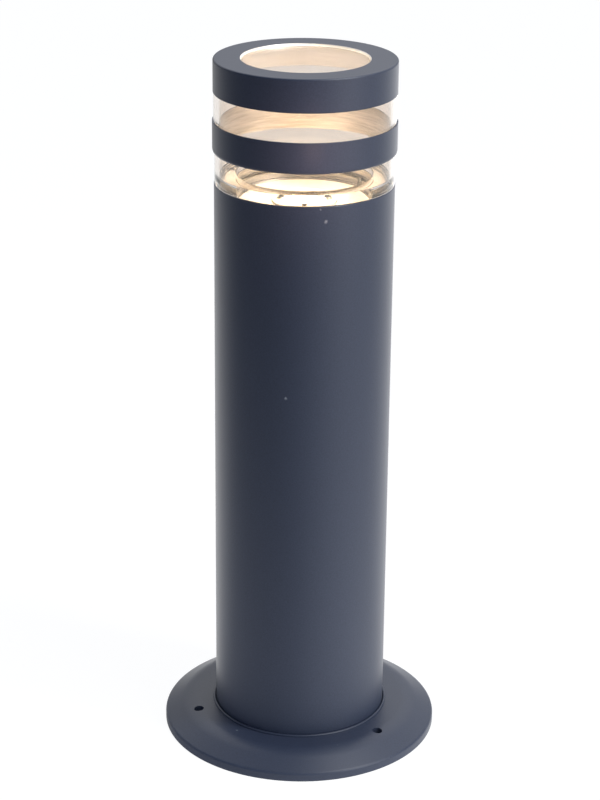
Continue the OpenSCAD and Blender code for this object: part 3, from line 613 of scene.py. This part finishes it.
def screw_tree():
    tree = bpy.data.node_groups.new("threaded screws on a circle", "GeometryNodeTree")
    tree.is_modifier = True
    tree.interface.new_socket("Geometry", in_out="OUTPUT", socket_type="NodeSocketGeometry")
    keys = {}
    for name, kind in (("Count", "Int"), ("Circle", "Float"), ("First Angle", "Float"),
                       ("Foot", "Float"), ("Length", "Float"), ("Radius", "Float"),
                       ("Pitch", "Float"), ("Head Radius", "Float"), ("Head Height", "Float"),
                       ("Finish", "Material")):
        keys[name] = tree.interface.new_socket(
            name, in_out="INPUT", socket_type="NodeSocket" + kind).identifier
    given = tree.nodes.new("NodeGroupInput").outputs

    def raised(geometry, height):
        up = add_node(tree, "ShaderNodeCombineXYZ", Z=height)
        return add_node(tree, "GeometryNodeTransform", Geometry=geometry,
                        Translation=up.outputs[0]).outputs[0]

    turns = add_node(tree, "ShaderNodeMath", {
        "operation": "DIVIDE", 0: given["Length"], 1: given["Pitch"]}).outputs[0]
    core_r = add_node(tree, "ShaderNodeMath", {
        "operation": "MULTIPLY", 0: given["Radius"], 1: CORE_SHARE}).outputs[0]
    ridge_r = add_node(tree, "ShaderNodeMath", {
        "operation": "MULTIPLY", 0: given["Pitch"], 1: RIDGE_SHARE}).outputs[0]
    crest_r = add_node(tree, "ShaderNodeMath", {
        "operation": "SUBTRACT", 0: given["Radius"], 1: ridge_r}).outputs[0]
    half_length = add_node(tree, "ShaderNodeMath", {
        "operation": "MULTIPLY", 0: given["Length"], 1: 0.5}).outputs[0]
    head_bottom = add_node(tree, "ShaderNodeMath", {
        "operation": "MULTIPLY", 0: given["Head Radius"], 1: HEAD_TAPER}).outputs[0]
    below = add_node(tree, "ShaderNodeMath", {
        "operation": "MULTIPLY", 0: given["Head Height"], 1: -1.0}).outputs[0]
    spiral = add_node(tree, "GeometryNodeCurveSpiral", {"Resolution": TURN_STEPS},
                      Rotations=turns, Start_Radius=crest_r, End_Radius=crest_r,
                      Height=given["Length"])
    ridge = add_node(tree, "GeometryNodeCurvePrimitiveCircle", {"Resolution": 3}, Radius=ridge_r)
    helix = add_node(tree, "GeometryNodeCurveToMesh", {"Fill Caps": True},
                     Curve=spiral.outputs[0], Profile_Curve=ridge.outputs[0])
    core = add_node(tree, "GeometryNodeMeshCylinder", {"Vertices": CORE_SIDES},
                    Radius=core_r, Depth=given["Length"])
    head = add_node(tree, "GeometryNodeMeshCone", {"Vertices": HEAD_SIDES},
                    Radius_Top=given["Head Radius"], Radius_Bottom=head_bottom,
                    Depth=given["Head Height"])
    joined = add_node(tree, "GeometryNodeJoinGeometry")
    for part in (helix.outputs[0], raised(core.outputs["Mesh"], half_length),
                 raised(head.outputs["Mesh"], below)):
        tree.links.new(part, joined.inputs[0])
    circle = add_node(tree, "GeometryNodeMeshCircle", Vertices=given["Count"],
                      Radius=given["Circle"])
    spin = add_node(tree, "ShaderNodeCombineXYZ", Z=given["First Angle"])
    up = add_node(tree, "ShaderNodeCombineXYZ", Z=given["Foot"])
    placed = add_node(tree, "GeometryNodeTransform", Geometry=circle.outputs[0],
                      Rotation=spin.outputs[0], Translation=up.outputs[0])
    copies = add_node(tree, "GeometryNodeInstanceOnPoints", Points=placed.outputs[0],
                      Instance=joined.outputs[0])
    real = add_node(tree, "GeometryNodeRealizeInstances", Geometry=copies.outputs[0])
    finish = add_node(tree, "GeometryNodeSetMaterial", Geometry=real.outputs[0],
                      Material=given["Finish"])
    tree.links.new(finish.outputs[0], tree.nodes.new("NodeGroupOutput").inputs[0])
    return tree, keys


SCREWS, SCREW_KEYS = screw_tree()


def threaded(name, material, **sizes):
    """Screws from the tree as one plain mesh. The sizes are named as the tree's inputs."""
    piece = show(name, bpy.data.meshes.new(name))
    grow = piece.modifiers.new("screws", "NODES")
    grow.node_group = SCREWS
    for key, value in sizes.items():
        grow[SCREW_KEYS[key.replace("_", " ")]] = value
    grow[SCREW_KEYS["Finish"]] = material
    settle(piece)
    if not piece.data.materials:
        piece.data.materials.append(material)
    print(name, len(piece.data.polygons), "faces")
    return piece


# %% [markdown]
# The thread is that of a common M4 screw. The height at which the shank meets the head is read
# off the part: it is the highest level that is as wide as the head.

# %% Lens screws
M4_PITCH = 0.7 * MM
M4_RADIUS = 2.0 * MM
HEAD_RADIUS = 3.5 * MM
# Only the head reaches this far out from a screw's own axis
HEAD_ONLY = 3 * MM
screw_low, screw_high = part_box("lens_screws")
head_z = [z for z in levels("lens_screws")
          if reach("lens_screws", z)[1] > SCREW_CIRCLE + HEAD_ONLY][-1]
lens_screws = threaded(
    "lens_screws_threaded", zinc_plate, Count=3, Circle=SCREW_CIRCLE, First_Angle=SCREW_ANGLE,
    Foot=head_z, Length=screw_high[2] - head_z, Radius=M4_RADIUS, Pitch=M4_PITCH,
    Head_Radius=HEAD_RADIUS, Head_Height=head_z - screw_low[2])
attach(lens_screws, "root")
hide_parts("lens_screws")

# %% [markdown]
# The camera stands about 1.3 metres in front of the post and looks down at it, with a long
# lens that keeps the tube's sides nearly parallel. Its place, pitch and roll were fitted to
# the outlines of the rings, the windows and the flange.

# %% Camera
CAMERA_DISTANCE = 1340.35 * MM
CAMERA_HEIGHT = 755.4 * MM
CAMERA_PITCH = math.radians(21.5)
CAMERA_YAW = math.radians(-0.063)
CAMERA_ROLL = math.radians(0.556)
FOCAL_PIXELS = 2246.6
PICTURE_HEIGHT = 800
SENSOR_MM = 36


def add_camera():
    camera = show("camera", bpy.data.cameras.new("camera"))
    ahead = Vector((math.sin(CAMERA_YAW) * math.cos(CAMERA_PITCH),
                    math.cos(CAMERA_YAW) * math.cos(CAMERA_PITCH), -math.sin(CAMERA_PITCH)))
    level = Vector((math.cos(CAMERA_YAW), -math.sin(CAMERA_YAW), 0))
    up = level.cross(ahead)
    side = level * math.cos(CAMERA_ROLL) + up * math.sin(CAMERA_ROLL)
    top = up * math.cos(CAMERA_ROLL) - level * math.sin(CAMERA_ROLL)
    camera.matrix_world = Matrix((side, top, -ahead)).transposed().to_4x4()
    camera.location = (0, -CAMERA_DISTANCE, CAMERA_HEIGHT)
    camera.data.sensor_width = SENSOR_MM
    camera.data.lens = FOCAL_PIXELS * SENSOR_MM / PICTURE_HEIGHT
    bpy.context.scene.camera = camera
    return camera


camera = add_camera()
print("lens in mm:", round(camera.data.lens, 1))

# %% [markdown]
# The coat is a dull mirror, so what it reflects shapes the post as much as the lamps do. In
# the picture the room is bright behind the post and to its right, and dark to the front left.
# A table gives how bright the surroundings are by bearing and distance. A colour ramp turns
# round the post to read it, with one of its three channels for each distance, so the sheet
# and the world take their reflections from the same table.

# %% Surroundings by side
# Each row: bearing as seen from the post in degrees, where 0 faces the camera and 90 is to the
# right, then how bright the sheet is in the coat there: at the post, a metre away, and beyond
SHINE_BY_SIDE = [
    (-180, 2.0, 1.7, 1.1), (-150, 1.8, 1.65, 0.95), (-130, 1.65, 1.2, 0.6),
    (-112, 1.15, 0.64, 0.3), (-95, 0.6, 0.15, 0.2), (-60, 0.25, 0.04, 0.1),
    (-30, 0.06, 0.02, 0.08), (-5, 0.1, 0.05, 0.15), (20, 0.6, 0.45, 0.65),
    (45, 0.95, 0.76, 0.85), (75, 1.3, 0.8, 0.85), (100, 1.2, 0.72, 0.78), (130, 1.65, 1.3, 1.5),
    (155, 1.8, 1.9, 2.1), (180, 1.9, 1.85, 2.0)]


def side_shine(home, place, weights):
    """How bright the bearing of a point is, with its row's three levels added by weight."""
    axes = add_node(home, "ShaderNodeSeparateXYZ", Vector=place)
    ahead = add_node(home, "ShaderNodeMath", {
        "operation": "MULTIPLY", 0: axes.outputs["Y"], 1: -1.0})
    bearing = add_node(home, "ShaderNodeMath", {
        "operation": "ARCTAN2", 0: axes.outputs["X"], 1: ahead.outputs[0]})
    share = add_node(home, "ShaderNodeMapRange", {"From Min": -math.pi, "From Max": math.pi},
                     Value=bearing.outputs[0])
    row = add_node(home, "ShaderNodeValToRGB", {
        "stops": [(degrees / 360 + 0.5, (*shines, 1)) for degrees, *shines in SHINE_BY_SIDE]},
        Fac=share.outputs["Result"])
    return add_node(home, "ShaderNodeVectorMath", {
        "operation": "DOT_PRODUCT", 0: row.outputs["Color"], 1: weights}).outputs["Value"]


print("bearings in the table:", len(SHINE_BY_SIDE))

# %% [markdown]
# The post stands on a white sheet. To the camera, and through the clear head, the sheet is
# nearly plain white, and a small share of real shading keeps the post's shadow on it. To the
# coat's mirror it shows the table above. To the coat's own colour it is a soft light from
# below that fades away from the post, because a lit white sheet throws light back up on the
# lowest part. Light Path tells these three kinds of look apart.

# %% Floor
FLOOR_SIZE = 16
FLOOR_WHITE = "#f2f2f2"
FLOOR_BOUNCE = 2.1
# Distances from the post in metres over which the bounce fades, the table's first level gives
# way to its second, and the second to its third
BOUNCE_REACH = (0.2, 0.8)
NEAR_REACH = (0.15, 0.9)
FAR_REACH = (1.05, 1.4)
SHEET_WHITE = 1.09
SHEET_SHARE = 0.88


def add_floor():
    bpy.ops.mesh.primitive_plane_add(size=FLOOR_SIZE)
    floor = bpy.context.object
    floor.name = "studio_floor"
    material, shader = new_finish("white studio sheet", Base_Color=paint(FLOOR_WHITE),
                                  Roughness=0.9)
    material.cycles.emission_sampling = "NONE"
    path = add_node(material, "ShaderNodeLightPath").outputs
    place = add_node(material, "ShaderNodeTexCoord").outputs["Object"]
    away = add_node(material, "ShaderNodeVectorMath", {"operation": "LENGTH", 0: place})

    def fading(reach_m, first, last):
        """A value that turns from the first to the last over a range of distance."""
        return add_node(material, "ShaderNodeMapRange", {
            "interpolation_type": "SMOOTHSTEP", "From Min": reach_m[0], "From Max": reach_m[1],
            "To Min": first, "To Max": last}, Value=away.outputs["Value"]).outputs["Result"]

    near, far = fading(NEAR_REACH, 1.0, 0.0), fading(FAR_REACH, 0.0, 1.0)
    not_near = add_node(material, "ShaderNodeMath", {"operation": "SUBTRACT", 0: 1.0, 1: near})
    between = add_node(material, "ShaderNodeMath", {
        "operation": "SUBTRACT", 0: not_near.outputs[0], 1: far})
    weights = add_node(material, "ShaderNodeCombineXYZ", X=near, Y=between.outputs[0], Z=far)
    shine = add_node(material, "ShaderNodeEmission",
                     Strength=side_shine(material, place, weights.outputs[0]))
    bounce = add_node(material, "ShaderNodeEmission",
                      Strength=fading(BOUNCE_REACH, FLOOR_BOUNCE, 0.0))
    white = add_node(material, "ShaderNodeEmission",
                     {"Strength": SHEET_WHITE, "Color": (1, 1, 1, 1)})

    seen = add_node(material, "ShaderNodeMath", {
        "operation": "MAXIMUM", 0: path["Is Camera Ray"], 1: path["Is Transmission Ray"]})
    share_seen = add_node(material, "ShaderNodeMath", {
        "operation": "MULTIPLY", 0: seen.outputs[0], 1: SHEET_SHARE})
    # A ray that came through the clear head counts as a mirrored one too, which is taken off
    glossy = add_node(material, "ShaderNodeMath", {
        "operation": "SUBTRACT", 0: path["Is Glossy Ray"], 1: seen.outputs[0]})
    mirrored = add_node(material, "ShaderNodeMath", {
        "operation": "MAXIMUM", 0: 0.0, 1: glossy.outputs[0]})
    matt = add_node(material, "ShaderNodeMixShader", {
        0: path["Is Diffuse Ray"], 1: shader.outputs[0], 2: bounce.outputs[0]})
    lit_sheet = add_node(material, "ShaderNodeMixShader", {
        0: share_seen.outputs[0], 1: matt.outputs[0], 2: white.outputs[0]})
    cover(material, add_node(material, "ShaderNodeMixShader", {
        0: mirrored.outputs[0], 1: lit_sheet.outputs[0], 2: shine.outputs[0]}).outputs[0])
    floor.data.materials.append(material)


add_floor()
print("sheet:", FLOOR_SIZE, "m wide")

# %% [markdown]
# The world is the room above the sheet. It is plain white to the camera and through the clear
# head. The coat's colour gets a soft bluish fill from it, and the coat's mirror the table's
# middle level, dim near the horizon and brighter higher up, as under a lit ceiling.

# %% World
WORLD_FILL = "#8292aa"
WORLD_SHINE_LOW = 0.33
WORLD_SHINE_HIGH = 0.9
# How steeply up a ray looks, as the height of its unit arrow, where low turns to high
SHINE_RISE = (0.22, 0.5)


def add_world():
    world = bpy.data.worlds.new("white studio")
    bpy.context.scene.world = world
    world.use_nodes = True
    world.cycles.sampling_method = "NONE"
    world.node_tree.nodes.clear()
    path = add_node(world, "ShaderNodeLightPath").outputs
    place = add_node(world, "ShaderNodeTexCoord").outputs["Generated"]
    axes = add_node(world, "ShaderNodeSeparateXYZ", Vector=place)
    higher = add_node(world, "ShaderNodeMapRange", {
        "interpolation_type": "SMOOTHSTEP", "From Min": SHINE_RISE[0], "From Max": SHINE_RISE[1],
        "To Min": WORLD_SHINE_LOW, "To Max": WORLD_SHINE_HIGH}, Value=axes.outputs["Z"])
    weights = add_node(world, "ShaderNodeCombineXYZ", Y=higher.outputs["Result"])
    shine = add_node(world, "ShaderNodeBackground", {"Color": (1, 1, 1, 1)},
                     Strength=side_shine(world, place, weights.outputs[0]))
    fill = add_node(world, "ShaderNodeBackground", {"Color": paint(WORLD_FILL)})
    plain = add_node(world, "ShaderNodeBackground", {"Color": (1, 1, 1, 1)})
    around = add_node(world, "ShaderNodeMixShader", {
        0: path["Is Glossy Ray"], 1: fill.outputs[0], 2: shine.outputs[0]})
    seen = add_node(world, "ShaderNodeMath", {
        "operation": "MAXIMUM", 0: path["Is Camera Ray"], 1: path["Is Transmission Ray"]})
    sky = add_node(world, "ShaderNodeMixShader", {
        0: seen.outputs[0], 1: around.outputs[0], 2: plain.outputs[0]})
    add_node(world, "ShaderNodeOutputWorld", Surface=sky.outputs[0])


add_world()
print("fill:", WORLD_FILL)

# %% [markdown]
# A large soft lamp stands in front of the post on the right, and a small one high up on the
# right lights what faces up, such as the cap and the flange. Three small round lamps are never
# seen themselves. Two in the head stand in for the light that the white parts round the source
# throw about, which would take many samples to find its way. The third hangs in front of the
# band and stands in for the glow that a bright source spreads over a picture around it.

# %% Lamps
# Name, place, what it points at, width, height, watts
SOFTBOXES = [
    ("key", (1.25, -0.88, 0.85), (0, 0, 0.2), 0.9, 1.2, 14),
    ("top", (0.68, -0.3, 1.5), (0, 0, 0.4), 0.2, 0.2, 9)]
# Name, place, radius, watts, colour
HIDDEN_GLOWS = [
    ("scatter above", (0, 0, 0.435), 0.01, 0.15, "#fff6e6"),
    ("scatter below", (0, 0, 0.388), 0.01, 0.19, "#ffdc9c"),
    ("spill", (0.012, -0.098, 0.404), 0.012, 0.105, "#ffc9ae")]


def add_softbox(name, place, target, width, height, power):
    lamp = bpy.data.lights.new(name, "AREA")
    lamp.shape = "RECTANGLE"
    lamp.size = width
    lamp.size_y = height
    lamp.energy = power
    item = show(name, lamp)
    item.location = place
    item.rotation_euler = (Vector(target) - Vector(place)).to_track_quat("-Z", "Y").to_euler()


def add_glow(name, place, radius, power, colour):
    """A small round lamp that is not seen, not through the clear head and not in a mirror."""
    lamp = bpy.data.lights.new(name, "POINT")
    lamp.shadow_soft_size = radius
    lamp.energy = power
    lamp.color = paint(colour)[:3]
    item = show(name, lamp)
    item.location = place
    item.visible_camera = False
    item.visible_transmission = False
    item.visible_glossy = False


for softbox in SOFTBOXES:
    add_softbox(*softbox)
for glow in HIDDEN_GLOWS:
    add_glow(*glow)
bpy.context.scene.view_settings.view_transform = "Standard"
print("lamps:", len(SOFTBOXES), "soft and", len(HIDDEN_GLOWS), "hidden")
